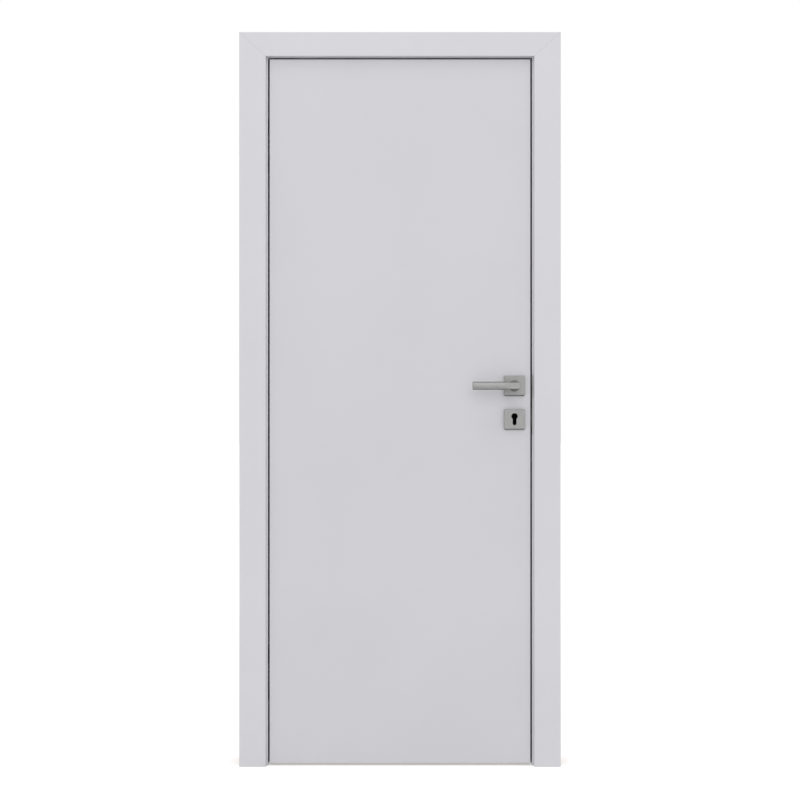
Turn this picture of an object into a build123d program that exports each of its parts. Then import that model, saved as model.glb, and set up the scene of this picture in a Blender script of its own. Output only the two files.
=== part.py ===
from build123d import *
import math
import os

# Interior door: a flush leaf in a lined frame with casings, seen from the side it opens to.
# Millimetres. X runs from the hinge side to the lock side, Z up from the finished floor,
# and the front, where the leaf lies flush with the wall, looks along -Y.
# The origin is on the hinge jamb's wall-side face, at floor level, halfway through the wall.

# Leaf
LEAF_WIDTH = 730.0
LEAF_HEIGHT = 1970.0
LEAF_THICKNESS = 40.0
FLOOR_GAP = 7.5
SKIN = 3.0
HINGE_STILE_WIDTH = 38.0
LOCK_STILE_WIDTH = 100.0
TOP_RAIL_HEIGHT = 38.0
BOTTOM_RAIL_HEIGHT = 60.0
EDGE_BAND = 1.2
ARRIS_RADIUS = 0.8
LOCK_EDGE_SLANT = 3.0

# Lining
WALL = 100.0
JAMB_GAP = 5.0
JAMB_THICKNESS = 30.0
STOP_DEPTH = 12.0
STOP_SET_BACK = 3.0
JAMB_EDGE_RADIUS = 1.2
SEAL_WIDTH = 6.0
SEAL_AIR = 0.3
SEAL_OFFSET = 4.0
SEAL_GROOVE_WIDTH = 3.0
SEAL_GROOVE_DEPTH = 4.0

# Casings
SIDE_CASING_WIDTH = 74.0
HEAD_CASING_WIDTH = 67.0
CASING_THICKNESS = 16.0
SIDE_REVEAL = 4.5
HEAD_REVEAL = 0.6
CASING_EDGE_RADIUS = 1.2
MITRE_GAP = 0.2
TONGUE_WIDTH = 4.0
TONGUE_LENGTH = 12.0
TONGUE_INSET = 14.0
TONGUE_CLEARANCE = 0.2

# Concealed hinges, which turn about a line in front of the leaf's face
PIVOT_FORWARD = 12.0
ARM_RADIUS = 32.0
ARM_THICKNESS = 4.0
ARM_HALF_SPAN = 52.4
ARM_BLADES = 4
BLADE_HEIGHT = 10.0
BLADE_SPACING = 14.0
ARM_PIN_DIAMETER = 3.0
ARM_CLEARANCE = 0.5
ARM_END_ROOM = 2.0
CUP_HEIGHT = 160.0
CUP_WALL = 1.4
CUP_WIDTH = 32.0
CUP_FORWARD = 1.0
CUP_RECESS_DEPTH = 4.0
CUP_RECESS_WIDTH = 18.0
CUP_RECESS_HEIGHT = 92.0
CUP_CLEARANCE = 0.1
CUP_MOUTH = 2.0
HINGE_FROM_TOP = 240.0
HINGE_FROM_BOTTOM = 250.0

# Lock, bolts and strike
BACKSET = 45.0
SPINDLE_HEIGHT = 1063.0
CYLINDER_SPACING = 85.0
CYLINDER_DIAMETER = 17.0
CYLINDER_SLOT_WIDTH = 10.0
CYLINDER_PROFILE_HEIGHT = 33.0
CYLINDER_CLEARANCE = 0.4
LOCK_CASE_WIDTH = 70.0
LOCK_CASE_ABOVE = 60.0
LOCK_CASE_BELOW = 112.0
LOCK_CASE_THICKNESS = 15.0
LOCK_WEB = 3.0
FOREND_WIDTH = 20.0
FOREND_HEIGHT = 235.0
FOREND_ABOVE = 75.0
FOREND_THICKNESS = 3.0
FOREND_CORNER = 5.0
LATCH_HEIGHT = 32.0
LATCH_WIDTH = 12.0
LATCH_ABOVE = 10.0
LATCH_NOSE_RADIUS = 4.0
BOLT_HEIGHT = 34.0
BOLT_WIDTH = 12.0
BOLT_BELOW = 4.0
BOLT_LENGTH = 22.0
BOLT_CHAMFER = 0.6
BOLT_CLEARANCE = 0.4
SPINDLE_SIDE = 8.0
SPINDLE_BORE = 22.0
FOLLOWER_BORE = 16.0
STRIKE_HEIGHT = 170.0
STRIKE_ABOVE = 33.0
STRIKE_WIDTH = 34.0
STRIKE_THICKNESS = 2.5
STRIKE_LATCH_HEIGHT = 38.0
STRIKE_BOLT_HEIGHT = 40.0
STRIKE_HOLE_WIDTH = 15.0
STRIKE_POCKET_DEPTH = 15.0
STRIKE_LIP = 1.5
STRIKE_LIP_HEIGHT = 62.0
STRIKE_LIP_BELOW = 14.0
STRIKE_CURL = 1.3
STRIKE_SEAT = 1.0

# Lever handles and plates
ROSE_SIDE = 58.0
ROSE_THICKNESS = 10.0
ROSE_BEVEL = 4.2
ROSE_BEVEL_DEPTH = 8.0
ROSE_TOP_CORNER = 0.8
ROSE_LOW_CORNER = 5.0
ROSE_ARRIS = 0.4
ESCUTCHEON_BELOW = 9.5
NECK_DIAMETER = 29.0
NECK_CLEARANCE = 0.3
NECK_PROUD = 2.0
NECK_OFF_LEAF = 0.5
NECK_INTO_ROOT = 1.0
NECK_FLAT_CORNER = 5.0
LEVER_DIAMETER = 23.0
LEVER_PROJECTION = 47.0
LEVER_REACH = 119.0
LEVER_END_RADIUS = 1.5
ROOT_BEYOND = 11.5
ROOT_LENGTH = 33.0
ROOT_HEIGHT = 17.4
ROOT_DEPTH = 20.0
ROOT_BLEND = 12.0
ROOT_CORNER = 1.5
ROOT_END_CHAMFER = 0.6
ROOT_MARGIN = 1.0
SQUARE_CLEARANCE = 0.05

# How far a cut runs past the face it opens
PAST = 1.0

# Places that follow from the sizes above
leaf_left = JAMB_THICKNESS + JAMB_GAP
leaf_right = leaf_left + LEAF_WIDTH
leaf_bottom = FLOOR_GAP
leaf_top = FLOOR_GAP + LEAF_HEIGHT
lining_width = LEAF_WIDTH + 2 * (JAMB_THICKNESS + JAMB_GAP)
head_face = leaf_top + JAMB_GAP
head_top = head_face + JAMB_THICKNESS
wall_front = -WALL / 2
wall_back = WALL / 2
leaf_back = wall_front + LEAF_THICKNESS
stop_front = leaf_back + STOP_SET_BACK
leaf_middle_y = wall_front + LEAF_THICKNESS / 2
lock_slant_run = LEAF_THICKNESS * math.tan(math.radians(LOCK_EDGE_SLANT))
pivot_x = JAMB_THICKNESS + JAMB_GAP / 2
pivot_y = wall_front - PIVOT_FORWARD
arm_y = pivot_y + ARM_RADIUS
arm_height = (ARM_BLADES - 1) * BLADE_SPACING + BLADE_HEIGHT
spindle_x = leaf_right - BACKSET
cylinder_z = SPINDLE_HEIGHT - CYLINDER_SPACING
latch_z = SPINDLE_HEIGHT + LATCH_ABOVE
bolt_z = cylinder_z - BOLT_BELOW
hinge_heights = {"top": leaf_top - HINGE_FROM_TOP, "bottom": leaf_bottom + HINGE_FROM_BOTTOM}


def box(x0, x1, y0, y1, z0, z1):
    """A box between two corners."""
    return Pos(x0, y0, z0) * Box(x1 - x0, y1 - y0, z1 - z0, align=(Align.MIN,) * 3)


def near(items, *spots, reach=0.05):
    """The vertices of a flat profile that lie at the given spots."""
    return [v for v in items if any(math.hypot(v.X - x, v.Y - y) < reach for x, y in spots)]


def mirrored_to_lock_side(shape):
    """The lock side's twin of a piece on the hinge side."""
    return mirror(shape, about=Plane(origin=(lining_width / 2, 0, 0), z_dir=(1, 0, 0)))


# The lining: a board round the opening with a stop strip planted on it, mitred at the head

def board_section():
    """The lining board's section with X across it from the wall side and Y through the wall."""
    board = Rectangle(JAMB_THICKNESS, WALL, align=(Align.MIN, Align.CENTER))
    board = fillet(near(board.vertices(), (JAMB_THICKNESS, wall_front)), JAMB_EDGE_RADIUS)
    tongue_groove = Pos(TONGUE_INSET, wall_back) * Rectangle(
        TONGUE_WIDTH + 2 * TONGUE_CLEARANCE, TONGUE_LENGTH + TONGUE_CLEARANCE,
        align=(Align.CENTER, Align.MAX),
    )
    return board - tongue_groove


def stop_section():
    """The stop that the leaf closes on, with a groove for the seal's foot."""
    inner = JAMB_THICKNESS + STOP_DEPTH
    stop = Pos(JAMB_THICKNESS, stop_front) * Rectangle(
        STOP_DEPTH, wall_back - stop_front, align=(Align.MIN, Align.MIN)
    )
    corners = near(stop.vertices(), (inner, stop_front), (inner, wall_back))
    stop = fillet(corners, JAMB_EDGE_RADIUS)
    seal_groove = Pos(inner - SEAL_OFFSET, stop_front) * Rectangle(
        SEAL_GROOVE_WIDTH, SEAL_GROOVE_DEPTH, align=(Align.CENTER, Align.MIN)
    )
    return stop - seal_groove


def mitre_tool(x, z, direction, keep_below):
    """A large wedge above or below the line through (x, z) along direction, in the XZ plane."""
    reach = 4 * lining_width
    dx, dz = direction
    length = math.hypot(dx, dz)
    ux, uz = dx / length, dz / length
    nx, nz = (-uz, ux) if keep_below else (uz, -ux)
    corners = [
        (x - ux * reach, z - uz * reach), (x + ux * reach, z + uz * reach),
        (x + ux * reach + nx * reach, z + uz * reach + nz * reach),
        (x - ux * reach + nx * reach, z - uz * reach + nz * reach),
    ]
    face = make_face(Plane.XZ * Polyline(*corners, close=True))
    return extrude(face, amount=reach, both=True)


def upright_run(section, height):
    """The section stood up from the floor."""
    return extrude(section, amount=height)


def level_run(section, height):
    """The section laid along X, its wall side up and its outermost edge at the given height."""
    laid = Plane(origin=(0, 0, height), x_dir=(0, 0, -1), z_dir=(1, 0, 0))
    return extrude(laid * section, amount=2 * lining_width, both=True)


def mitred_upright(section, x, z, direction, gap=0.0):
    """The hinge side's upright, cut off along its mitre."""
    run = upright_run(section, z + 2 * HEAD_CASING_WIDTH)
    lift = gap / 2 * math.hypot(*direction) / abs(direction[0])
    return run - mitre_tool(x, z - lift, (-abs(direction[0]), direction[1]), False)


def mitred_level(section, outer, x, z, direction, gap=0.0):
    """The head's run, cut off along both of its mitres."""
    lift = gap / 2 * math.hypot(*direction) / abs(direction[0])
    left_cut = mitre_tool(x, z + lift, (-abs(direction[0]), direction[1]), True)
    return level_run(section, outer) - left_cut - mirrored_to_lock_side(left_cut)


def lining_mitre():
    return JAMB_THICKNESS, head_face, (-1.0, 1.0)


def seal_section():
    """A soft bulb on a barbed foot that sits in the stop's groove."""
    centre = JAMB_THICKNESS + STOP_DEPTH - SEAL_OFFSET
    bulb_reach = STOP_SET_BACK - SEAL_AIR
    bulb = Pos(centre, stop_front) * Ellipse(SEAL_WIDTH / 2, bulb_reach)
    bulb &= Pos(centre, stop_front) * Rectangle(
        SEAL_WIDTH, bulb_reach, align=(Align.CENTER, Align.MAX)
    )
    foot = Pos(centre, stop_front) * Rectangle(
        SEAL_GROOVE_WIDTH, SEAL_GROOVE_DEPTH, align=(Align.CENTER, Align.MIN)
    )
    return bulb + foot


def lining_parts():
    """Boards, stops and seals, each as hinge side, lock side and head."""
    x, z, direction = lining_mitre()
    parts = {}
    sections = {"jamb": board_section(), "stop": stop_section(), "seal": seal_section()}
    for name, section in sections.items():
        hinge_side = mitred_upright(section, x, z, direction)
        head = mitred_level(section, head_top, x, z, direction)
        parts[name] = (hinge_side, mirrored_to_lock_side(hinge_side), head)
    return parts


# The casings: flat boards with eased edges, mitred at the top corners

def casing_section(width, at_back):
    """A casing's section, X from its outer edge and Y out of the wall."""
    face_y = wall_back if at_back else wall_front
    out = 1 if at_back else -1
    board = Pos(width / 2, face_y + out * CASING_THICKNESS / 2) * Rectangle(width, CASING_THICKNESS)
    front = face_y + out * CASING_THICKNESS
    return fillet(near(board.vertices(), (0, front), (width, front)), CASING_EDGE_RADIUS)


def casing_tongue(from_inner_edge, width):
    """The back casing's tongue, which slides into the lining's groove."""
    return Pos(width - from_inner_edge, wall_back) * Rectangle(
        TONGUE_WIDTH, TONGUE_LENGTH, align=(Align.CENTER, Align.MAX)
    )


def casing_set(at_back):
    """Left, right and head casing of one side of the wall."""
    side_inner = JAMB_THICKNESS + (STOP_DEPTH if at_back else 0) - SIDE_REVEAL
    head_inner = head_face - (STOP_DEPTH if at_back else 0) + HEAD_REVEAL
    side = casing_section(SIDE_CASING_WIDTH, at_back)
    head = casing_section(HEAD_CASING_WIDTH, at_back)
    if at_back:
        side += casing_tongue(side_inner - TONGUE_INSET, SIDE_CASING_WIDTH)
        head += casing_tongue(head_top - TONGUE_INSET - head_inner, HEAD_CASING_WIDTH)
    side = Pos(side_inner - SIDE_CASING_WIDTH, 0) * side
    direction = (-SIDE_CASING_WIDTH, HEAD_CASING_WIDTH)
    left = mitred_upright(side, side_inner, head_inner, direction, MITRE_GAP)
    outer = head_inner + HEAD_CASING_WIDTH
    top = mitred_level(head, outer, side_inner, head_inner, direction, MITRE_GAP)
    if at_back:
        end = box(
            side_inner - SIDE_CASING_WIDTH, JAMB_THICKNESS + STOP_DEPTH,
            wall_back - TONGUE_LENGTH, wall_back, head_inner, outer,
        )
        top = top - end - mirrored_to_lock_side(end)
    return left, mirrored_to_lock_side(left), top


# Concealed hinges

def arc_slot(first, last, width):
    """A round-ended slot about the pivot line; angles run from straight back towards the leaf."""
    start = 90 - last
    arc = CenterArc((pivot_x, pivot_y), ARM_RADIUS, start, last - first)
    return make_face(SlotArc(arc, width).edges())


def hinge_arm(height):
    """Curved blades on a common pin, half of them in the frame and half in the leaf at rest."""
    blade = arc_slot(-ARM_HALF_SPAN, ARM_HALF_SPAN, ARM_THICKNESS)
    low = height - arm_height / 2
    arm = Part()
    for i in range(ARM_BLADES):
        arm += Pos(0, 0, low + i * BLADE_SPACING) * extrude(blade, amount=BLADE_HEIGHT)
    for turn in (-ARM_HALF_SPAN / 2, ARM_HALF_SPAN / 2):
        angle = math.radians(turn)
        x = pivot_x + ARM_RADIUS * math.sin(angle)
        y = pivot_y + ARM_RADIUS * math.cos(angle)
        arm += Pos(x, y, height) * Cylinder(ARM_PIN_DIAMETER / 2, arm_height)
    return arm


def cup_depth():
    """How deep a cup is let in, so that the arm's swept end stays inside it."""
    angle = math.radians(ARM_HALF_SPAN + ARM_END_ROOM)
    reach = ARM_RADIUS * math.sin(angle) + ARM_THICKNESS / 2 + ARM_CLEARANCE
    return reach - JAMB_GAP / 2 + CUP_WALL


def cup_block(height, width, depth, face_x, grow=0.0):
    """A round-ended block let into the jamb from its face."""
    plane = Plane(origin=(face_x, arm_y - CUP_FORWARD, height), x_dir=(0, 0, 1), z_dir=(-1, 0, 0))
    outline = plane * SlotOverall(CUP_HEIGHT + 2 * grow, width + 2 * grow)
    return extrude(outline, amount=depth)


def frame_cup(height):
    """The hinge's half in the jamb: slots for the arm behind a shallow recess."""
    body = cup_block(height, CUP_WIDTH, cup_depth(), JAMB_THICKNESS)
    recess = box(
        JAMB_THICKNESS - CUP_RECESS_DEPTH, JAMB_THICKNESS + PAST,
        arm_y - CUP_RECESS_WIDTH / 2, arm_y + CUP_RECESS_WIDTH / 2,
        height - CUP_RECESS_HEIGHT / 2, height + CUP_RECESS_HEIGHT / 2,
    )
    slot = arc_slot(-ARM_HALF_SPAN - ARM_END_ROOM, ARM_HALF_SPAN, ARM_THICKNESS + 2 * ARM_CLEARANCE)
    low = height - arm_height / 2 - ARM_CLEARANCE
    channel = Pos(0, 0, low) * extrude(slot, amount=arm_height + 2 * ARM_CLEARANCE)
    return body - recess - channel


def cup_pocket(height):
    """The mortise for a cup."""
    block = cup_block(height, CUP_WIDTH, cup_depth() + CUP_CLEARANCE, JAMB_THICKNESS, CUP_CLEARANCE)
    mouth = cup_block(height, CUP_WIDTH, CUP_MOUTH, JAMB_THICKNESS + CUP_MOUTH, CUP_CLEARANCE)
    return block + mouth


def across_gap(shape):
    """The leaf's twin of a hinge piece in the frame, mirrored in the middle of the gap."""
    return mirror(shape, about=Plane(origin=(pivot_x, 0, 0), z_dir=(1, 0, 0)))


# Lock, bolts and strike

def cylinder_profile(grow):
    """The keyhole's outline: a round plug above a narrower round-ended slot."""
    radius = CYLINDER_DIAMETER / 2 + grow
    half = CYLINDER_SLOT_WIDTH / 2 + grow
    slot_bottom = CYLINDER_DIAMETER / 2 - CYLINDER_PROFILE_HEIGHT - grow
    leg = Rectangle(2 * half, -slot_bottom - half, align=(Align.CENTER, Align.MAX))
    toe = Pos(0, slot_bottom + half) * Circle(half)
    return Circle(radius) + leg + toe


def through_y(profile, x, z, y0, y1):
    """A profile drawn as seen from the front, run from y0 to y1."""
    plane = Plane(origin=(x, y0, z), x_dir=(1, 0, 0), z_dir=(0, -1, 0))
    return extrude(plane * profile, amount=-(y1 - y0))


def keyhole_cut(y0, y1):
    return through_y(cylinder_profile(CYLINDER_CLEARANCE), spindle_x, cylinder_z, y0, y1)


def lock_case():
    """The mortise lock's box, with the follower's bore and a keyhole closed at its middle."""
    front = leaf_middle_y - LOCK_CASE_THICKNESS / 2
    back = leaf_middle_y + LOCK_CASE_THICKNESS / 2
    edge = leaf_right - lock_slant_run - FOREND_THICKNESS
    case = box(
        edge - LOCK_CASE_WIDTH, edge, front, back,
        SPINDLE_HEIGHT - LOCK_CASE_BELOW, SPINDLE_HEIGHT + LOCK_CASE_ABOVE,
    )
    follower = Circle(FOLLOWER_BORE / 2)
    case -= through_y(follower, spindle_x, SPINDLE_HEIGHT, front - PAST, back + PAST)
    case -= keyhole_cut(front - PAST, leaf_middle_y - LOCK_WEB / 2)
    case -= keyhole_cut(leaf_middle_y + LOCK_WEB / 2, back + PAST)
    for height, width, z in bolt_rows():
        case -= bolt_box(height, width, z, BOLT_CLEARANCE)
    return case


def bolt_rows():
    """Height, width and level of the latch and of the dead bolt."""
    return ((LATCH_HEIGHT, LATCH_WIDTH, latch_z), (BOLT_HEIGHT, BOLT_WIDTH, bolt_z))


def lock_edge_x(y):
    """Where the slanted lock edge lies at a depth in the wall."""
    return leaf_right - (y - wall_front) * math.tan(math.radians(LOCK_EDGE_SLANT))


def slanted_slab(inner_offset, outer_offset, y0, y1, z0, z1):
    """A slab between two lines parallel to the lock edge, at offsets inwards from it."""
    corners = [
        (lock_edge_x(y0) - outer_offset, y0), (lock_edge_x(y0) - inner_offset, y0),
        (lock_edge_x(y1) - inner_offset, y1), (lock_edge_x(y1) - outer_offset, y1),
    ]
    return Pos(0, 0, z0) * extrude(make_face(Polyline(*corners, close=True)), amount=z1 - z0)


def bolt_box(height, width, z, grow=0.0):
    """A bolt drawn back flush with the forend."""
    return slanted_slab(
        0.0, BOLT_LENGTH + grow, leaf_middle_y - width / 2 - grow, leaf_middle_y + width / 2 + grow,
        z - height / 2 - grow, z + height / 2 + grow,
    )


def latch_bolt():
    """The latch, with the rounded nose that rides over the strike's lip."""
    latch = bolt_box(LATCH_HEIGHT, LATCH_WIDTH, latch_z)
    nose = latch.edges().filter_by(Axis.Z).group_by(Axis.X)[-1]
    return fillet(nose, LATCH_NOSE_RADIUS)


def dead_bolt():
    bolt = bolt_box(BOLT_HEIGHT, BOLT_WIDTH, bolt_z)
    return chamfer(bolt.edges().group_by(Axis.X)[-1], BOLT_CHAMFER)


def forend_plate(grow=0.0):
    """The lock's face plate, let in flush with the slanted edge."""
    half = FOREND_WIDTH / 2 + grow
    top = SPINDLE_HEIGHT + FOREND_ABOVE + grow
    bottom = SPINDLE_HEIGHT + FOREND_ABOVE - FOREND_HEIGHT - grow
    plate = slanted_slab(
        0.0, FOREND_THICKNESS, leaf_middle_y - half, leaf_middle_y + half, bottom, top
    )
    short = [e for e in plate.edges() if e.length < 2 * FOREND_THICKNESS]
    plate = fillet(short, FOREND_CORNER)
    if grow == 0.0:
        for height, width, z in bolt_rows():
            plate -= bolt_box(height, width, z, BOLT_CLEARANCE)
    return plate


def strike_holes(depth, grow=0.0):
    """The latch's and the dead bolt's holes in the lock jamb."""
    face = lining_width - JAMB_THICKNESS
    half = STRIKE_HOLE_WIDTH / 2 + grow
    holes = Part()
    for height, z in ((STRIKE_LATCH_HEIGHT, latch_z), (STRIKE_BOLT_HEIGHT, bolt_z)):
        holes += box(
            face - PAST, face + depth, leaf_middle_y - half, leaf_middle_y + half,
            z - height / 2 - grow, z + height / 2 + grow,
        )
    return holes


def strike_blank(grow=0.0, lip=0.0):
    """The strike's flat plate, from the jamb's front edge inwards."""
    face = lining_width - JAMB_THICKNESS
    top = SPINDLE_HEIGHT + STRIKE_ABOVE
    return box(
        face, face + STRIKE_THICKNESS, wall_front - lip, wall_front + STRIKE_WIDTH + grow,
        top - STRIKE_HEIGHT - grow, top + grow,
    )


def strike_plate():
    """The strike, with a lip that curls over the jamb's front edge beside the latch."""
    face = lining_width - JAMB_THICKNESS
    plate = strike_blank()
    lip_z = latch_z - STRIKE_LIP_BELOW
    lip = box(
        face, face + SIDE_REVEAL - JAMB_EDGE_RADIUS, wall_front - STRIKE_LIP, wall_front,
        lip_z - STRIKE_LIP_HEIGHT / 2, lip_z + STRIKE_LIP_HEIGHT / 2,
    )
    curl = lip.edges().filter_by(Axis.Z).sort_by(Axis.Y)[:2].sort_by(Axis.X)[0]
    return plate + fillet(curl, STRIKE_CURL) - strike_holes(STRIKE_THICKNESS + PAST)


# The leaf

def leaf_blank():
    """The leaf's outer shape, with its slanted lock edge and eased arrises."""
    corners = [
        (leaf_left, wall_front), (leaf_right, wall_front),
        (lock_edge_x(leaf_back), leaf_back), (leaf_left, leaf_back),
    ]
    profile = make_face(Polyline(*corners, close=True))
    blank = Pos(0, 0, leaf_bottom) * extrude(profile, amount=LEAF_HEIGHT)
    arrises = [
        e for e in blank.edges()
        if e.length > LEAF_THICKNESS * 2 and (e @ 0.5).Z > leaf_bottom
    ]
    return fillet(arrises, ARRIS_RADIUS)


def lock_cuts():
    """Holes for the spindle and the keyhole through the whole leaf, and the lock's mortise."""
    front = wall_front - PAST
    back = leaf_back + PAST
    cuts = through_y(Circle(SPINDLE_BORE / 2), spindle_x, SPINDLE_HEIGHT, front, back)
    cuts += keyhole_cut(front, back)
    edge = leaf_right - lock_slant_run - FOREND_THICKNESS
    cuts += box(
        edge - LOCK_CASE_WIDTH, leaf_right + PAST,
        leaf_middle_y - LOCK_CASE_THICKNESS / 2, leaf_middle_y + LOCK_CASE_THICKNESS / 2,
        SPINDLE_HEIGHT - LOCK_CASE_BELOW, SPINDLE_HEIGHT + LOCK_CASE_ABOVE,
    )
    return cuts + forend_plate(CUP_CLEARANCE)


def leaf_parts():
    """Core, stiles, rails, two skins and three edge bands."""
    inner_front = wall_front + SKIN
    inner_back = leaf_back - SKIN
    core_left = leaf_left + EDGE_BAND
    core_top = leaf_top - EDGE_BAND
    stile_right = core_left + HINGE_STILE_WIDTH
    lock_left = leaf_right - LOCK_STILE_WIDTH
    rail_bottom = core_top - TOP_RAIL_HEIGHT
    rail_top = leaf_bottom + BOTTOM_RAIL_HEIGHT
    cuts = lock_cuts()
    pockets = Part()
    for height in hinge_heights.values():
        pockets += across_gap(cup_pocket(height))
    blank = leaf_blank()
    slant = slanted_slab(
        -LOCK_STILE_WIDTH, EDGE_BAND, wall_front - PAST, leaf_back + PAST, leaf_bottom, leaf_top
    )
    lock_stile = box(lock_left, leaf_right, inner_front, inner_back, leaf_bottom, core_top)
    trimmed = box(core_left, leaf_right, wall_front, leaf_back, leaf_bottom, core_top) - slant
    skins = {
        "leaf_front_skin": trimmed & box(0, lining_width, wall_front, inner_front, 0, head_top),
        "leaf_back_skin": trimmed & box(0, lining_width, inner_back, leaf_back, 0, head_top),
    }
    hinge_band = box(leaf_left, core_left, wall_front, leaf_back, leaf_bottom, leaf_top) & blank
    top_band = box(core_left, leaf_right, wall_front, leaf_back, core_top, leaf_top) - slant
    lock_band = slanted_slab(0, EDGE_BAND, wall_front, leaf_back, leaf_bottom, leaf_top) & blank
    return {
        "leaf_core": box(stile_right, lock_left, inner_front, inner_back, rail_top, rail_bottom),
        "leaf_hinge_stile": box(
            core_left, stile_right, inner_front, inner_back, leaf_bottom, core_top
        ) - pockets,
        "leaf_lock_stile": lock_stile - slant - cuts,
        "leaf_top_rail": box(stile_right, lock_left, inner_front, inner_back, rail_bottom, core_top),
        "leaf_bottom_rail": box(stile_right, lock_left, inner_front, inner_back, leaf_bottom, rail_top),
        "leaf_front_skin": skins["leaf_front_skin"] - cuts,
        "leaf_back_skin": skins["leaf_back_skin"] - cuts,
        "hinge_edge_band": hinge_band - pockets,
        "lock_edge_band": lock_band - cuts,
        "top_edge_band": top_band & blank,
    }


# Lever handles and plates

def front_and_back(front):
    """A fitting on the leaf's front and its twin on the back."""
    middle = Plane(origin=(0, leaf_middle_y, 0), z_dir=(0, 1, 0))
    return front, mirror(front, about=middle)


def plate_outline():
    """A plate seen from the front: crisp upper corners and rounder lower ones."""
    half = ROSE_SIDE / 2
    outline = Rectangle(ROSE_SIDE, ROSE_SIDE)
    outline = fillet(near(outline.vertices(), (-half, half), (half, half)), ROSE_TOP_CORNER)
    return fillet(near(outline.vertices(), (-half, -half), (half, -half)), ROSE_LOW_CORNER)


def lower_bevel(z):
    """The wedge that is cut off a plate's lower front edge."""
    front = wall_front - ROSE_THICKNESS
    bottom = z - ROSE_SIDE / 2
    past_up = PAST * ROSE_BEVEL / ROSE_BEVEL_DEPTH
    corners = [
        (front - PAST, bottom + ROSE_BEVEL + past_up),
        (front + ROSE_BEVEL_DEPTH + PAST, bottom - past_up),
        (front - PAST, bottom - past_up),
    ]
    wedge = make_face(Plane.YZ * Polyline(*corners, close=True))
    return Pos(spindle_x, 0, 0) * extrude(wedge, amount=ROSE_SIDE, both=True)


def plate_blank(z):
    """A square plate on the leaf, with a steep bevel along its lower edge and eased arrises."""
    plane = Plane(origin=(spindle_x, wall_front, z), x_dir=(1, 0, 0), z_dir=(0, -1, 0))
    plate = extrude(plane * plate_outline(), amount=ROSE_THICKNESS) - lower_bevel(z)
    front = plate.faces().sort_by(Axis.Y)[0]
    return chamfer(front.edges(), ROSE_ARRIS)


def rosette():
    bore = NECK_DIAMETER / 2 + NECK_CLEARANCE
    front = wall_front - ROSE_THICKNESS
    return plate_blank(SPINDLE_HEIGHT) - through_y(
        Circle(bore), spindle_x, SPINDLE_HEIGHT, front - PAST, wall_front + PAST
    )


def escutcheon():
    front = wall_front - ROSE_THICKNESS
    blank = plate_blank(cylinder_z - ESCUTCHEON_BELOW)
    return blank - keyhole_cut(front - PAST, wall_front + PAST)


def lever():
    """A round bar on a squared root, which a tapering neck carries from the rosette."""
    axis_y = wall_front - LEVER_PROJECTION
    bar_left = spindle_x - LEVER_REACH
    bar_right = spindle_x + ROOT_BEYOND - ROOT_LENGTH - ROOT_BLEND
    across = Plane(origin=(bar_right, axis_y, SPINDLE_HEIGHT), x_dir=(0, 1, 0), z_dir=(-1, 0, 0))
    round_section = Circle(LEVER_DIAMETER / 2)
    bar = extrude(across * round_section, amount=bar_right - bar_left)
    bar = fillet(bar.edges().group_by(Axis.X)[0], LEVER_END_RADIUS)
    squared = across.offset(-ROOT_BLEND) * RectangleRounded(ROOT_DEPTH, ROOT_HEIGHT, ROOT_CORNER)
    blend = loft([squared, across * round_section])
    root = extrude(squared, amount=-ROOT_LENGTH)
    root = chamfer(root.faces().sort_by(Axis.X)[-1].edges(), ROOT_END_CHAMFER)
    return bar + blend + root + neck(axis_y + ROOT_DEPTH / 2 - NECK_INTO_ROOT)


def neck(end_y):
    """The round neck in the rosette, tapering to the root, with the spindle's square socket."""
    out = Plane(origin=(spindle_x, wall_front, SPINDLE_HEIGHT), x_dir=(1, 0, 0), z_dir=(0, -1, 0))
    round_section = Circle(NECK_DIAMETER / 2)
    width = 2 * (ROOT_BEYOND - ROOT_MARGIN)
    height = ROOT_HEIGHT - 2 * ROOT_MARGIN
    flattened = RectangleRounded(width, height, NECK_FLAT_CORNER)
    top = ROSE_THICKNESS + NECK_PROUD
    collar = extrude(out.offset(NECK_OFF_LEAF) * round_section, amount=top - NECK_OFF_LEAF)
    taper = loft([out.offset(top) * round_section, out.offset(wall_front - end_y) * flattened])
    half = SPINDLE_SIDE / 2 + SQUARE_CLEARANCE
    socket = box(
        spindle_x - half, spindle_x + half, end_y, leaf_middle_y,
        SPINDLE_HEIGHT - half, SPINDLE_HEIGHT + half,
    )
    return collar + taper - socket


def spindle():
    """The square bar that joins the two levers through the lock."""
    end = LEVER_PROJECTION - ROOT_DEPTH / 2
    half = SPINDLE_SIDE / 2
    return box(
        spindle_x - half, spindle_x + half, wall_front - end, leaf_back + end,
        SPINDLE_HEIGHT - half, SPINDLE_HEIGHT + half,
    )


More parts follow.
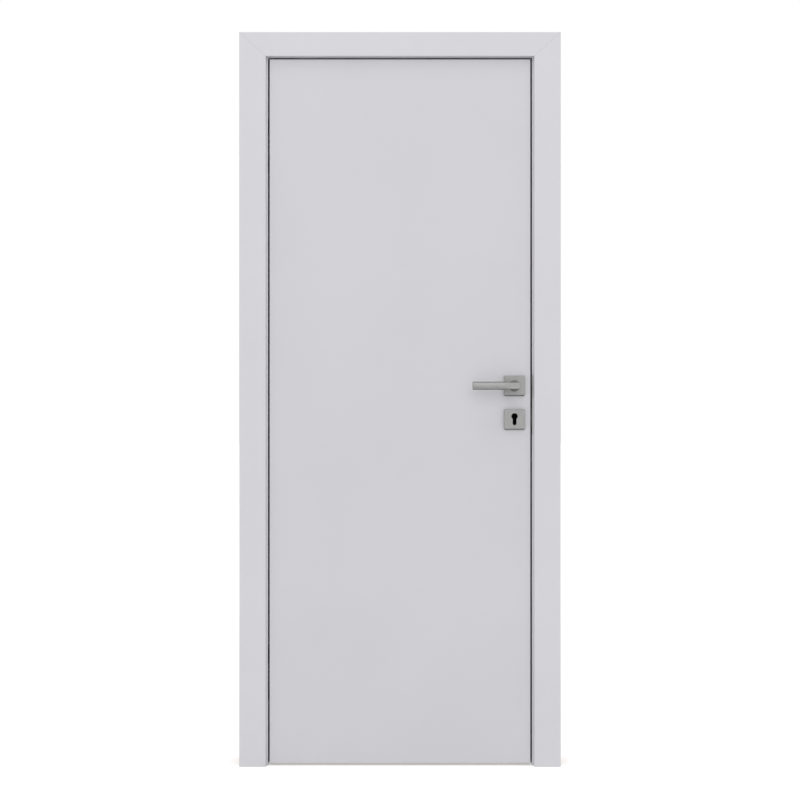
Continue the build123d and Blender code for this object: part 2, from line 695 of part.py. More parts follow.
def build():
    parts = {}
    lining = lining_parts()
    hinge_jamb, lock_jamb, head_jamb = lining["jamb"]
    for height in hinge_heights.values():
        hinge_jamb -= cup_pocket(height)
    lock_jamb -= strike_blank(CUP_CLEARANCE, PAST)
    lock_jamb -= strike_holes(STRIKE_POCKET_DEPTH, STRIKE_SEAT)
    parts["hinge_jamb"] = hinge_jamb
    parts["lock_jamb"] = lock_jamb
    parts["head_jamb"] = head_jamb
    for name in ("stop", "seal"):
        hinge_side, lock_side, head = lining[name]
        parts[f"hinge_side_{name}"] = hinge_side
        parts[f"lock_side_{name}"] = lock_side
        parts[f"head_{name}"] = head
    for side in ("front", "back"):
        left, right, head = casing_set(side == "back")
        parts[f"{side}_casing_left"] = left
        parts[f"{side}_casing_right"] = right
        parts[f"{side}_casing_head"] = head
    parts["strike_plate"] = strike_plate()
    for place, height in hinge_heights.items():
        cup = frame_cup(height)
        parts[f"hinge_{place}_frame_cup"] = cup
        parts[f"hinge_{place}_leaf_cup"] = across_gap(cup)
        parts[f"hinge_{place}_arm"] = hinge_arm(height)
    parts.update(leaf_parts())
    parts["lock_case"] = lock_case()
    parts["forend_plate"] = forend_plate()
    parts["latch_bolt"] = latch_bolt()
    parts["dead_bolt"] = dead_bolt()
    parts["front_rosette"], parts["back_rosette"] = front_and_back(rosette())
    parts["front_escutcheon"], parts["back_escutcheon"] = front_and_back(escutcheon())
    parts["front_lever"], parts["back_lever"] = front_and_back(lever())
    parts["spindle"] = spindle()
    return parts


os.makedirs("parts", exist_ok=True)
for name, shape in build().items():
    export_step(shape, f"parts/{name}.step")
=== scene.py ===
import math
import bmesh
import bpy
from mathutils import Matrix, Vector


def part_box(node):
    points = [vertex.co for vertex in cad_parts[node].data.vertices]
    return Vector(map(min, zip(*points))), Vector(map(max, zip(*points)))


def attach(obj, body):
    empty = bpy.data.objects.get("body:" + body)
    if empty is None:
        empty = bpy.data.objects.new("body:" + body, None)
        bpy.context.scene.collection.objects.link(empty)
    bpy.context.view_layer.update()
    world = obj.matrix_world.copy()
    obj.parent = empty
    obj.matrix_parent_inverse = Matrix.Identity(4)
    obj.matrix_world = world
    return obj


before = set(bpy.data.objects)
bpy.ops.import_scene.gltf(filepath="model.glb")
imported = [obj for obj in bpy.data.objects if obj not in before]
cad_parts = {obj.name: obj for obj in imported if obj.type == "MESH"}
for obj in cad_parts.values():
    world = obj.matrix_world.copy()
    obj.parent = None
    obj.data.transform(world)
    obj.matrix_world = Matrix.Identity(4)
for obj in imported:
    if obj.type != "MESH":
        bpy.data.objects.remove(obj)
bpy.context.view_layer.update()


def middle(node, axis):
    """The middle of a CAD node's box along one axis."""
    low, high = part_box(node)
    return (low[axis] + high[axis]) / 2


# The camera stands straight ahead of the door, at half its height; places are in metres
VIEW_PLACE = (0.4, -4.068, 1.0236)
LENS_MM = 64.57
SENSOR_MM = 36.0

# Light from the world and two lamps, and a floor whose glow grows with distance
WHITE = (1.0, 1.0, 1.0, 1.0)
WORLD_LIGHT = 0.75
BACKDROP_LIGHT = 1.0
KEY_POWER = 1050.0
KEY_PLACE = (-0.4, -20.0, 12.5)
KEY_TARGET = (0.4, -0.05, 1.0)
KEY_SIZE = (22.0, 16.0)
TOP_POWER = 110.0
TOP_PLACE = (0.6, -3.0, 9.0)
TOP_TARGET = (0.5, -0.1, 1.0)
TOP_SIZE = (7.0, 2.6)
FLOOR_HALF = 30.0
FLOOR_DISTANCE = (1.2, 4.5)
FLOOR_GLOW = (0.38, 0.60)
FLOOR_CLOUDS = 2.0
FLOOR_SHADE = 0.99
FLOOR_ROUGH = 0.9

# Colours as they should look under plain light, in sRGB from 0 to 1
CASING_WHITE = (0.838, 0.835, 0.852)
LEAF_WHITE = (0.822, 0.820, 0.837)
BARE_BOARD = (0.66, 0.54, 0.40)
RAW_FIBRE = (0.74, 0.62, 0.48)
SEAL_GREY = (0.145, 0.14, 0.155)
SATIN_NICKEL = (0.614, 0.614, 0.611)
SATIN_STEEL = (0.70, 0.70, 0.70)
HINGE_GREY = (0.44, 0.44, 0.45)
DULL_BLACK = (0.03, 0.03, 0.03)
FLOOR_WHITE = (0.93, 0.93, 0.93)

# How noise is made and read: its detail, the part of its values in use, and what that becomes
SOFT_DETAIL = 2.0
FINE_DETAIL = 3.0
GRAIN_DETAIL = 5.0
NOISE_MIDDLE = (0.35, 0.65)
NOISE_WIDE = (0.3, 0.7)
ALL = (0.0, 1.0)
HALF = (0.0, 0.5)

# Finishes: noise scales are per metre, shades are shares of a colour, reliefs are in metres
LACQUER_CLOUDS = 3.0
LACQUER_SHADE = 0.988
LACQUER_SPRAY = 40.0
LACQUER_ROUGH = (0.40, 0.48)
LACQUER_PEEL = 420.0
LACQUER_RELIEF = 0.00002
LACQUER_IOR = 1.48
FIBRES = 900.0
FIBRE_SHADE = 0.8
FIBRE_ROUGH = 0.9
BOARD_STREAKS = 60.0
BOARD_STREAK_SHADE = 0.72
BOARD_FLECKS = 500.0
BOARD_FLECK_TOPS = (0.55, 0.75)
BOARD_FLECK_SHADE = 0.6
BOARD_ROUGH = 0.85
BOARD_RELIEF = 0.0002
CHIPBOARD_SHADE = 0.93
UPRIGHT_GRAIN = (1.0, 1.0, 0.05)
LEVEL_GRAIN = (0.05, 1.0, 1.0)
NO_GRAIN = (1.0, 1.0, 1.0)
RUBBER_MOTTLE = 300.0
RUBBER_SHADE = 1.25
RUBBER_ROUGH = 0.7
RUBBER_RELIEF = 0.00005
BRUSH_LINES = 2600.0
BRUSH_SHADE = 0.86
BRUSH_ROUGH_SPREAD = 0.06
BRUSH_RELIEF = 0.000006
UPRIGHT_BRUSH = (1.0, 1.0, 0.04)
LEVEL_BRUSH = (0.04, 1.0, 1.0)
METAL_CLOUDS = 60.0
METAL_SHADE = 0.95
METAL_EDGE_RADIUS = 0.0004
METAL_EDGE_SAMPLES = 4
HANDLE_ROUGH = 0.48
LOCK_ROUGH = 0.32
HINGE_ROUGH = 0.48
BLACK_SPECKS = 200.0
BLACK_SHADE = 1.6
BLACK_ROUGH = 0.75
BLACK_RELIEF = 0.00002
BLACK_IOR = 1.22

# Places of the CAD model that the finishes and the small pieces follow
LEAF_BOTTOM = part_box("leaf_lock_stile")[0][2]
LEAF_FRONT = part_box("leaf_front_skin")[0][1]
LEAF_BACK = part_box("leaf_back_skin")[1][1]
LEAF_MIDDLE = (LEAF_FRONT + LEAF_BACK) / 2
WALL_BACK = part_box("hinge_jamb")[1][1]
LINING_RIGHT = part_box("lock_jamb")[1][0]
LINING_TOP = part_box("head_jamb")[1][2]
LOCK_JAMB_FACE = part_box("lock_side_stop")[1][0]
ROSE_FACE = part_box("front_rosette")[0][1]
SPINDLE_X = middle("spindle", 0)
SPINDLE_Z = middle("spindle", 2)

# The same model's sizes that no box shows: how far the keyhole's cylinder stands below the spindle,
# and how much the leaf's lock edge slants
SPINDLE_TO_CYLINDER = 0.085
CYLINDER_Z = SPINDLE_Z - SPINDLE_TO_CYLINDER
EDGE_SLANT = math.radians(3.0)

# Bare board shows this near to a raw side, and this far into the lock jamb's pockets and beyond
RAW_DEPTH = 0.00005
POCKET_DEPTH = 0.0005

# Screws, in metres and radians; each step of the dome is a share of the width and of the rise
SCREW_RADIUS = 0.0043
SCREW_RISE = 0.0006
SCREW_SIDES = 32
SCREW_FIRST_TURN = 0.4
SCREW_NEXT_TURN = 0.7
DOME_STEPS = ((0.97, 0.4), (0.89, 0.4), (0.79, 0.2))
RECESS_TAPER = 0.85
RECESS_DEPTH = 0.00054
CROSS_REACH = 0.52
CROSS_HALF = 0.13
HINGE_SCREW_OUT = 0.061
HINGE_ADJUSTER_OUT = 0.036
HINGE_ADJUSTER_ASIDE = 0.001
HINGE_ADJUSTER_SHARE = 0.8
HINGE_RECESS = 0.004
FOREND_SCREW_IN = 0.012
STRIKE_SCREWS_UP = (0.0145, 0.108)
GRUB_RADIUS = 0.0024
GRUB_SOCKET = 0.5
GRUB_TURN = 0.2
GRUB_OUT = 0.047
GRUB_DOWN = 0.0087

# The keyhole's sleeve, black painted shade inside the hole, and the ring round the lever's neck, in
# metres
SLEEVE_OUTER = 0.0087
SLEEVE_WALL = 0.0003
SLEEVE_SLOT = 0.0052
SLEEVE_TALL = 0.0334
SLEEVE_SET_BACK = 0.0006
SLEEVE_END = 0.0220
PLUG_STEPS = 40
TOE_STEPS = 20
RING_INNER = 0.01460
RING_OUTER = 0.0151
RING_RISE = 0.0003
RING_STEPS = 64


def linear(colour):
    """An sRGB colour as the linear RGBA that shaders take."""
    channels = [c / 12.92 if c <= 0.04045 else ((c + 0.055) / 1.055) ** 2.4 for c in colour]
    return (*channels, 1.0)


def shade(colour, share):
    """A colour made darker by a share below 1, or lighter by one above it."""
    return tuple(c * share for c in colour)


class Shader:
    """A material under construction: a node tree with the few helpers used below."""

    def __init__(self, name):
        self.material = bpy.data.materials.new(name)
        self.material.use_nodes = True
        self.tree = self.material.node_tree
        self.surface = self.tree.nodes["Principled BSDF"]
        self.place = self.node("ShaderNodeTexCoord").outputs["Object"]

    def node(self, kind, **settings):
        """A new node of a kind, with its settings."""
        made = self.tree.nodes.new(kind)
        for key, value in settings.items():
            setattr(made, key, value)
        return made

    def feed(self, value, socket):
        """Links another node's output to a socket, or sets a number or colour on it."""
        if hasattr(value, "is_linked"):
            self.tree.links.new(value, socket)
        else:
            socket.default_value = value

    def set(self, **values):
        """Feeds the surface's sockets, whose names have _ for a space here."""
        for key, value in values.items():
            self.feed(value, self.surface.inputs[key.replace("_", " ")])

    def stretched(self, scale):
        """Object coordinates, scaled differently along each axis."""
        mapping = self.node("ShaderNodeMapping")
        self.feed(scale, mapping.inputs["Scale"])
        self.feed(self.place, mapping.inputs["Vector"])
        return mapping.outputs["Vector"]

    def noise(self, scale, detail=SOFT_DETAIL, stretch=None):
        """Cloudy noise fixed to the object, drawn out where a stretch is given."""
        texture = self.node("ShaderNodeTexNoise")
        self.feed(scale, texture.inputs["Scale"])
        self.feed(detail, texture.inputs["Detail"])
        self.feed(self.stretched(stretch) if stretch else self.place, texture.inputs["Vector"])
        return texture.outputs["Fac"]

    def ramp(self, value, old, new):
        """Maps a value from one pair of limits onto another, and holds it at the ends."""
        remap = self.node("ShaderNodeMapRange")
        for socket, limit in zip(("From Min", "From Max", "To Min", "To Max"), (*old, *new)):
            self.feed(limit, remap.inputs[socket])
        self.feed(value, remap.inputs["Value"])
        return remap.outputs["Result"]

    def mix(self, factor, first, second):
        """A colour mix; each side is a colour or a socket."""
        blend = self.node("ShaderNodeMix", data_type="RGBA")
        self.feed(factor, blend.inputs["Factor"])
        for name, value in (("A", first), ("B", second)):
            self.feed(value, [i for i in blend.inputs if i.name == name and i.type == "RGBA"][0])
        return [o for o in blend.outputs if o.type == "RGBA"][0]

    def shaded(self, factor, colour, share):
        """A colour that turns to a shade of itself as the factor grows."""
        return self.mix(factor, linear(colour), linear(shade(colour, share)))

    def math(self, operation, first, second):
        """One sum or comparison of two numbers or sockets."""
        made = self.node("ShaderNodeMath", operation=operation)
        self.feed(first, made.inputs[0])
        self.feed(second, made.inputs[1])
        return made.outputs[0]

    def beyond(self, limits, joined):
        """1 past the limits, each an axis, a place on it and whether it lies above that place."""
        total = None
        for axis, limit, above in limits:
            split = self.node("ShaderNodeSeparateXYZ")
            self.feed(self.place, split.inputs[0])
            side = self.math("GREATER_THAN" if above else "LESS_THAN", split.outputs[axis], limit)
            total = side if total is None else self.math(joined, total, side)
        return total

    def bump(self, height, distance, edge_radius=0.0):
        """Adds relief of a real height, and rounds the edges where a radius is given."""
        relief = self.node("ShaderNodeBump")
        self.feed(distance, relief.inputs["Distance"])
        self.feed(height, relief.inputs["Height"])
        if edge_radius:
            edges = self.node("ShaderNodeBevel", samples=METAL_EDGE_SAMPLES)
            self.feed(edge_radius, edges.inputs["Radius"])
            self.feed(edges.outputs["Normal"], relief.inputs["Normal"])
        self.set(Normal=relief.outputs["Normal"])


def lacquer(name, colour, raw_sides, raw_inside=()):
    """Sprayed satin lacquer on board, bare at each raw side and where all of raw_inside hold."""
    shader = Shader(name)
    cloud = shader.ramp(shader.noise(LACQUER_CLOUDS, FINE_DETAIL), NOISE_MIDDLE, ALL)
    coat = shader.shaded(cloud, colour, LACQUER_SHADE)
    rough = shader.ramp(shader.noise(LACQUER_SPRAY, FINE_DETAIL), NOISE_WIDE, LACQUER_ROUGH)
    bare = shader.beyond(raw_sides, "MAXIMUM")
    if raw_inside:
        bare = shader.math("MAXIMUM", bare, shader.beyond(raw_inside, "MINIMUM"))
    raw = shader.shaded(shader.noise(FIBRES, FINE_DETAIL), RAW_FIBRE, FIBRE_SHADE)
    raw_rough = shader.math("MULTIPLY", bare, FIBRE_ROUGH)
    shader.set(
        Base_Color=shader.mix(bare, coat, raw), IOR=LACQUER_IOR,
        Roughness=shader.math("MAXIMUM", rough, raw_rough),
    )
    shader.bump(shader.noise(LACQUER_PEEL), LACQUER_RELIEF)
    return shader.material


def bare_board(name, colour, grain):
    """Chipboard or softwood as sawn, its streaks drawn out along the axis that grain leaves small."""
    shader = Shader(name)
    streaks = shader.ramp(shader.noise(BOARD_STREAKS, GRAIN_DETAIL, grain), NOISE_WIDE, ALL)
    base = shader.shaded(streaks, colour, BOARD_STREAK_SHADE)
    flecks = shader.noise(BOARD_FLECKS, FINE_DETAIL)
    speck = shader.ramp(flecks, BOARD_FLECK_TOPS, HALF)
    speckled = shader.mix(speck, base, linear(shade(colour, BOARD_FLECK_SHADE)))
    shader.set(Base_Color=speckled, Roughness=BOARD_ROUGH)
    shader.bump(flecks, BOARD_RELIEF)
    return shader.material


def rubber(name, colour):
    """Soft seal rubber, slightly mottled."""
    shader = Shader(name)
    mottle = shader.noise(RUBBER_MOTTLE)
    shader.set(Base_Color=shader.shaded(mottle, colour, RUBBER_SHADE), Roughness=RUBBER_ROUGH)
    shader.bump(mottle, RUBBER_RELIEF)
    return shader.material


def brushed_metal(name, colour, brush, roughness):
    """Metal with fine brush lines, drawn out along the axis that brush leaves small."""
    shader = Shader(name)
    lines = shader.noise(BRUSH_LINES, FINE_DETAIL, brush)
    cloud = shader.ramp(shader.noise(METAL_CLOUDS, FINE_DETAIL), NOISE_WIDE, ALL)
    tone = shader.shaded(cloud, colour, METAL_SHADE)
    streak = shader.ramp(lines, NOISE_MIDDLE, HALF)
    streaked = shader.mix(streak, tone, linear(shade(colour, BRUSH_SHADE)))
    spread = (roughness - BRUSH_ROUGH_SPREAD, roughness + BRUSH_ROUGH_SPREAD)
    shader.set(Base_Color=streaked, Roughness=shader.ramp(lines, NOISE_WIDE, spread), Metallic=1.0)
    shader.bump(lines, BRUSH_RELIEF, METAL_EDGE_RADIUS)
    return shader.material


def dull_black(name):
    """Matt black paint, faintly specked."""
    shader = Shader(name)
    speck = shader.noise(BLACK_SPECKS)
    tone = shader.shaded(speck, DULL_BLACK, BLACK_SHADE)
    shader.set(Base_Color=tone, Roughness=BLACK_ROUGH, IOR=BLACK_IOR)
    shader.bump(speck, BLACK_RELIEF)
    return shader.material


def dress(material, *nodes):
    """Gives CAD nodes their finish."""
    for node in nodes:
        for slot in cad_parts[node].material_slots:
            slot.material = material


def dress_frame():
    """Lining, stops and casings, bare on the wall's side, at the floor and in the pockets; seals."""
    floor_side = ("Z", RAW_DEPTH, False)
    jamb_sides = [("X", RAW_DEPTH, False), ("X", LINING_RIGHT - RAW_DEPTH, True), floor_side]
    pocket = [
        ("X", LOCK_JAMB_FACE + POCKET_DEPTH, True),
        ("Y", LEAF_FRONT + POCKET_DEPTH, True),
        ("Y", WALL_BACK - POCKET_DEPTH, False),
    ]
    jamb = lacquer("jamb_lacquer", CASING_WHITE, jamb_sides)
    lock_jamb = lacquer("lock_jamb_lacquer", CASING_WHITE, jamb_sides, pocket)
    head = lacquer("head_jamb_lacquer", CASING_WHITE, [("Z", LINING_TOP - RAW_DEPTH, True)])
    dress(jamb, "hinge_jamb", "hinge_side_stop", "lock_side_stop")
    dress(lock_jamb, "lock_jamb")
    dress(head, "head_jamb", "head_stop")
    front_sides = [("Y", LEAF_FRONT - RAW_DEPTH, True), floor_side]
    back_sides = [("Y", WALL_BACK + RAW_DEPTH, False), floor_side]
    for side, raw_sides in (("front", front_sides), ("back", back_sides)):
        casing = lacquer(f"{side}_casing_lacquer", CASING_WHITE, raw_sides)
        dress(casing, *[f"{side}_casing_{place}" for place in ("left", "right", "head")])
    dress(rubber("seal_rubber", SEAL_GREY), "hinge_side_seal", "lock_side_seal", "head_seal")


def dress_leaf():
    """Lacquered faces and edges, bare at the bottom, and the wood inside."""
    skin = lacquer("leaf_lacquer", LEAF_WHITE, [("Z", LEAF_BOTTOM + RAW_DEPTH, False)])
    dress(skin, "leaf_front_skin", "leaf_back_skin")
    dress(skin, "hinge_edge_band", "lock_edge_band", "top_edge_band")
    upright = bare_board("upright_softwood", BARE_BOARD, UPRIGHT_GRAIN)
    level = bare_board("level_softwood", BARE_BOARD, LEVEL_GRAIN)
    chipboard = bare_board("chipboard", shade(BARE_BOARD, CHIPBOARD_SHADE), NO_GRAIN)
    dress(upright, "leaf_hinge_stile", "leaf_lock_stile")
    dress(level, "leaf_top_rail", "leaf_bottom_rail")
    dress(chipboard, "leaf_core")


def dress_metal(steel, alloy, black):
    """Hinges, lock and handles."""
    for place in ("top", "bottom"):
        dress(alloy, *[f"hinge_{place}_{part}" for part in ("frame_cup", "leaf_cup", "arm")])
    dress(steel, "strike_plate", "forend_plate", "latch_bolt", "dead_bolt", "spindle")
    dress(black, "lock_case")
    nickel = brushed_metal("handle_nickel", SATIN_NICKEL, LEVEL_BRUSH, HANDLE_ROUGH)
    for side in ("front", "back"):
        dress(nickel, *[f"{side}_{part}" for part in ("rosette", "escutcheon", "lever")])


def scene_object(name, mesh, material):
    """Moves a finished mesh into the scene, as an object with its material."""
    data = bpy.data.meshes.new(name)
    mesh.to_mesh(data)
    mesh.free()
    data.materials.append(material)
    thing = bpy.data.objects.new(name, data)
    bpy.context.scene.collection.objects.link(thing)
    return thing


def piece(name, mesh, material, body):
    """Turns a finished mesh, already in place, into a piece that rides on a body."""
    bmesh.ops.recalc_face_normals(mesh, faces=mesh.faces[:])
    thing = scene_object(name, mesh, material)
    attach(thing, body)


def set_on(place, outwards, turn):
    """Where a head drawn about Z stands: at a place, facing outwards, turned about its axis."""
    tilt = Vector((0.0, 0.0, 1.0)).rotation_difference(Vector(outwards)).to_matrix().to_4x4()
    return Matrix.Translation(place) @ tilt @ Matrix.Rotation(turn, 4, "Z")


def cross_points(reach, half):
    """A cross recess's corners, anticlockwise: those of one arm, turned four times."""
    arm = ((reach, -half), (reach, half), (half, half))
    turns = ((1, 0), (0, 1), (-1, 0), (0, -1))
    return [(x * c - y * s, x * s + y * c) for c, s in turns for x, y in arm]


def hexagon_points(radius):
    """A socket's six corners, anticlockwise."""
    steps = [math.pi / 3 * i for i in range(6)]
    return [(radius * math.cos(a), radius * math.sin(a)) for a in steps]


def closed(mesh, verts):
    """The edges of the loop through the vertices, made where they are missing."""
    pairs = zip(verts, verts[1:] + verts[:1])
    return [mesh.edges.get(pair) or mesh.edges.new(pair) for pair in pairs]


def grown(mesh, edges, move, share=1.0):
    """Extrudes a loop, scales what it grew about Z and moves it; returns the new loop's edges."""
    made = bmesh.ops.extrude_edge_only(mesh, edges=edges)["geom"]
    verts = [part for part in made if isinstance(part, bmesh.types.BMVert)]
    bmesh.ops.scale(mesh, vec=(share, share, 1.0), verts=verts)
    bmesh.ops.translate(mesh, vec=move, verts=verts)
    return [part for part in made if isinstance(part, bmesh.types.BMEdge)]


def add_head(mesh, matrix, radius, recess):
    """Adds a domed head, drawn about Z with the recess sunk into its top, and sets it in place."""
    others = set(mesh.verts)
    foot = bmesh.ops.create_circle(mesh, cap_ends=True, segments=SCREW_SIDES, radius=radius)["verts"]
    dome = closed(mesh, foot)
    for share, rise in DOME_STEPS:
        dome = grown(mesh, dome, (0.0, 0.0, SCREW_RISE * rise), share)
    rim = closed(mesh, [mesh.verts.new((x, y, SCREW_RISE)) for x, y in recess])
    bmesh.ops.triangle_fill(mesh, edges=dome + rim, use_beauty=True)
    bottom = grown(mesh, rim, (0.0, 0.0, -RECESS_DEPTH), RECESS_TAPER)
    bmesh.ops.contextual_create(mesh, geom=bottom)
    bmesh.ops.transform(mesh, matrix=matrix, verts=[v for v in mesh.verts if v not in others])


def screws(name, spots, material, body):
    """Cross-recessed screws at the spots, each with its place, outward direction and radius."""
    mesh = bmesh.new()
    for index, (place, outwards, radius) in enumerate(spots):
        recess = cross_points(radius * CROSS_REACH, radius * CROSS_HALF)
        turn = SCREW_FIRST_TURN + SCREW_NEXT_TURN * index
        add_head(mesh, set_on(place, outwards, turn), radius, recess)
    piece(name, mesh, material, body)


def hinge_screws(material):
    """Two fixing screws and two adjusters on each half of each hinge."""
    for place in ("top", "bottom"):
        for body, side in (("frame", 1.0), ("leaf", -1.0)):
            cup = f"hinge_{place}_{body}_cup"
            low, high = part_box(cup)
            face = high[0] if side > 0 else low[0]
            sunk = face - side * HINGE_RECESS
            y = middle(cup, 1)
            z = middle(cup, 2)
            outwards = (side, 0.0, 0.0)
            spots = []
            for end in (-1.0, 1.0):
                fixing = (face, y, z + end * HINGE_SCREW_OUT)
                adjuster = (sunk, y + HINGE_ADJUSTER_ASIDE, z + end * HINGE_ADJUSTER_OUT)
                spots.append((fixing, outwards, SCREW_RADIUS))
                spots.append((adjuster, outwards, SCREW_RADIUS * HINGE_ADJUSTER_SHARE))
            screws(f"hinge_{place}_{body}_screws", spots, material, body)


def lock_screws(material):
    """Two screws in the forend, which slants with the leaf's edge, and two in the strike."""
    low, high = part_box("forend_plate")
    edge_x = high[0] - (LEAF_MIDDLE - low[1]) * math.tan(EDGE_SLANT)
    outwards = (math.cos(EDGE_SLANT), math.sin(EDGE_SLANT), 0.0)
    heights = (low[2] + FOREND_SCREW_IN, high[2] - FOREND_SCREW_IN)
    spots = [((edge_x, LEAF_MIDDLE, z), outwards, SCREW_RADIUS) for z in heights]
    screws("forend_screws", spots, material, "leaf")
    low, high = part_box("strike_plate")
    outwards = (-1.0, 0.0, 0.0)
    places = [(low[0], LEAF_MIDDLE, low[2] + up) for up in STRIKE_SCREWS_UP]
    spots = [(place, outwards, SCREW_RADIUS) for place in places]
    screws("strike_screws", spots, material, "frame")


def across_leaf(y, side):
    """A depth on the front of the leaf, or its twin on the back."""
    return y if side == "front" else LEAF_FRONT + LEAF_BACK - y


def arc(mesh, centre, radius, start, turn, steps):
    """The first and last vertex of an arc, spun anticlockwise as seen from the front."""
    x, y, z = centre
    first = mesh.verts.new((x + radius * math.cos(start), y, z + radius * math.sin(start)))
    spun = bmesh.ops.spin(mesh, geom=[first], cent=centre, axis=(0.0, -1.0, 0.0), angle=turn, steps=steps)
    return first, spun["geom_last"][0]


def keyhole_shade_sleeve(y0, y1):
    """A thin sleeve in the keyhole, which is round above with a slot below; in black it is painted shade
    that makes the hole look dark.
    """
    mesh = bmesh.new()
    meet = math.asin(SLEEVE_SLOT / SLEEVE_OUTER)
    plug = (SPINDLE_X, y0, CYLINDER_Z)
    toe = (SPINDLE_X, y0, CYLINDER_Z + SLEEVE_OUTER - SLEEVE_TALL + SLEEVE_SLOT)
    round_turn = 2 * (math.pi - meet)
    right, left = arc(mesh, plug, SLEEVE_OUTER, meet - math.pi / 2, round_turn, PLUG_STEPS)
    low_left, low_right = arc(mesh, toe, SLEEVE_SLOT, math.pi, math.pi, TOE_STEPS)
    mesh.edges.new((left, low_left))
    mesh.edges.new((low_right, right))
    grown(mesh, mesh.edges[:], (0.0, y1 - y0, 0.0))
    bmesh.ops.recalc_face_normals(mesh, faces=mesh.faces[:])
    bmesh.ops.solidify(mesh, geom=mesh.faces[:], thickness=SLEEVE_WALL)
    return mesh


def neck_ring_and_shade(y0, y1):
    """The bearing ring round the lever's neck, which in black is also painted shade in the clearance
    between neck and rosette: its section, spun about the spindle.
    """
    mesh = bmesh.new()
    section = ((RING_INNER, y0), (RING_OUTER, y0), (RING_OUTER, y1), (RING_INNER, y1))
    corners = [mesh.verts.new((SPINDLE_X + r, y, SPINDLE_Z)) for r, y in section]
    bmesh.ops.spin(
        mesh, geom=corners + closed(mesh, corners), cent=(SPINDLE_X, y0, SPINDLE_Z),
        axis=(0.0, 1.0, 0.0), angle=2 * math.pi, steps=RING_STEPS, use_merge=True,
    )
    return mesh


def grub_screw(y):
    """The grub screw under the lever's neck, with its six-sided socket facing down."""
    mesh = bmesh.new()
    matrix = set_on((SPINDLE_X, y, SPINDLE_Z - GRUB_DOWN), (0.0, 0.0, -1.0), GRUB_TURN)
    add_head(mesh, matrix, GRUB_RADIUS, hexagon_points(GRUB_RADIUS * GRUB_SOCKET))
    return mesh


def handle_fittings(black):
    """On each face: the keyhole's black sleeve, painted shade lining the hole; the neck's black bearing
    ring, partly painted shade in the clearance round the neck; and the grub screw.
    """
    for side in ("front", "back"):
        near_y = across_leaf(ROSE_FACE + SLEEVE_SET_BACK, side)
        deep_y = across_leaf(ROSE_FACE + SLEEVE_END, side)
        out_y = across_leaf(ROSE_FACE - RING_RISE, side)
        in_y = across_leaf(ROSE_FACE + RING_RISE, side)
        grub = grub_screw(across_leaf(LEAF_FRONT - GRUB_OUT, side))
        # Black sleeve: painted shade inside the keyhole
        piece(f"{side}_keyhole_shade_sleeve", keyhole_shade_sleeve(near_y, deep_y), black, "leaf")
        # Black ring: a bearing ring that is also painted shade in the clearance round the neck
        piece(f"{side}_neck_ring_and_shade", neck_ring_and_shade(out_y, in_y), black, "leaf")
        piece(f"{side}_grub_screw", grub, black, "lever_handle")


def apart(tree, lighting, seen):
    """Joins two shaders: one gives the light, and the camera, metal and glass see the other."""
    path = tree.nodes.new("ShaderNodeLightPath")
    shown = path.outputs["Is Camera Ray"]
    for ray in ("Is Glossy Ray", "Is Transmission Ray"):
        either = tree.nodes.new("ShaderNodeMath")
        either.operation = "MAXIMUM"
        tree.links.new(shown, either.inputs[0])
        tree.links.new(path.outputs[ray], either.inputs[1])
        shown = either.outputs[0]
    choice = tree.nodes.new("ShaderNodeMixShader")
    tree.links.new(shown, choice.inputs["Fac"])
    tree.links.new(lighting, choice.inputs[1])
    tree.links.new(seen, choice.inputs[2])
    return choice.outputs[0]


def floor_material():
    """A white floor that still takes the object's shadow."""
    shader = Shader("floor_white")
    tone = shader.shaded(shader.noise(FLOOR_CLOUDS), FLOOR_WHITE, FLOOR_SHADE)
    shader.set(Base_Color=tone, Roughness=FLOOR_ROUGH)
    away = shader.node("ShaderNodeVectorMath", operation="LENGTH")
    shader.feed(shader.place, away.inputs[0])
    glow = shader.node("ShaderNodeEmission")
    shader.feed(shader.ramp(away.outputs["Value"], FLOOR_DISTANCE, FLOOR_GLOW), glow.inputs["Strength"])
    both = shader.node("ShaderNodeAddShader")
    shader.feed(shader.surface.outputs[0], both.inputs[0])
    shader.feed(glow.outputs[0], both.inputs[1])
    look = apart(shader.tree, shader.surface.outputs[0], both.outputs[0])
    shader.feed(look, shader.tree.nodes["Material Output"].inputs["Surface"])
    return shader.material


def lay_floor():
    """The floor that the door stands on, which isn't part of it."""
    mesh = bmesh.new()
    bmesh.ops.create_grid(mesh, x_segments=1, y_segments=1, size=FLOOR_HALF)
    floor = scene_object("floor", mesh, floor_material())


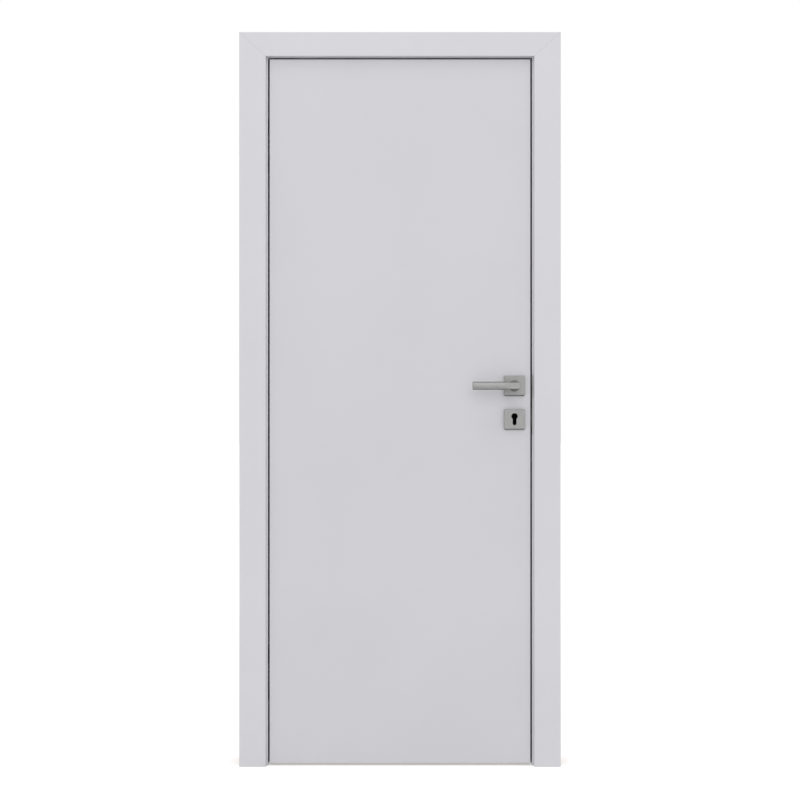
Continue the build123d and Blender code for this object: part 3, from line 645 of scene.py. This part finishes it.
def light_world():
    """White surroundings to look at, in metal too, and a softer level of light from them."""
    world = bpy.data.worlds.new("studio")
    bpy.context.scene.world = world
    world.use_nodes = True
    tree = world.node_tree
    sky = tree.nodes["Background"]
    backdrop = tree.nodes.new("ShaderNodeBackground")
    for ground, strength in ((sky, WORLD_LIGHT), (backdrop, BACKDROP_LIGHT)):
        ground.inputs["Color"].default_value = WHITE
        ground.inputs["Strength"].default_value = strength
    look = apart(tree, sky.outputs[0], backdrop.outputs[0])
    tree.links.new(look, tree.nodes["World Output"].inputs["Surface"])


def hang_lamp(name, place, target, size, power):
    """A soft rectangular lamp at a place, turned to its target."""
    data = bpy.data.lights.new(name, "AREA")
    data.shape = "RECTANGLE"
    data.size, data.size_y = size
    data.energy = power
    thing = bpy.data.objects.new(name, data)
    thing.location = place
    thing.rotation_euler = (Vector(target) - Vector(place)).to_track_quat("-Z", "Y").to_euler()
    bpy.context.scene.collection.objects.link(thing)


def set_camera():
    """The camera of the photograph, level and looking straight at the door's front."""
    data = bpy.data.cameras.new("camera")
    data.sensor_width = SENSOR_MM
    data.lens = LENS_MM
    camera = bpy.data.objects.new("camera", data)
    camera.location = VIEW_PLACE
    camera.rotation_euler = (math.pi / 2, 0.0, 0.0)
    bpy.context.scene.collection.objects.link(camera)
    bpy.context.scene.camera = camera
    bpy.context.scene.view_settings.view_transform = "Standard"


dress_frame()
dress_leaf()
lock_steel = brushed_metal("lock_steel", SATIN_STEEL, UPRIGHT_BRUSH, LOCK_ROUGH)
hinge_alloy = brushed_metal("hinge_alloy", HINGE_GREY, UPRIGHT_BRUSH, HINGE_ROUGH)
# Matt black: the lock case's and grub screws' own paint, and painted shade on the keyhole's sleeve and
# round the lever's neck
lock_black = dull_black("lock_black")
dress_metal(lock_steel, hinge_alloy, lock_black)
hinge_screws(lock_steel)
lock_screws(lock_steel)
handle_fittings(lock_black)
lay_floor()
light_world()
hang_lamp("key", KEY_PLACE, KEY_TARGET, KEY_SIZE, KEY_POWER)
hang_lamp("top", TOP_PLACE, TOP_TARGET, TOP_SIZE, TOP_POWER)
set_camera()
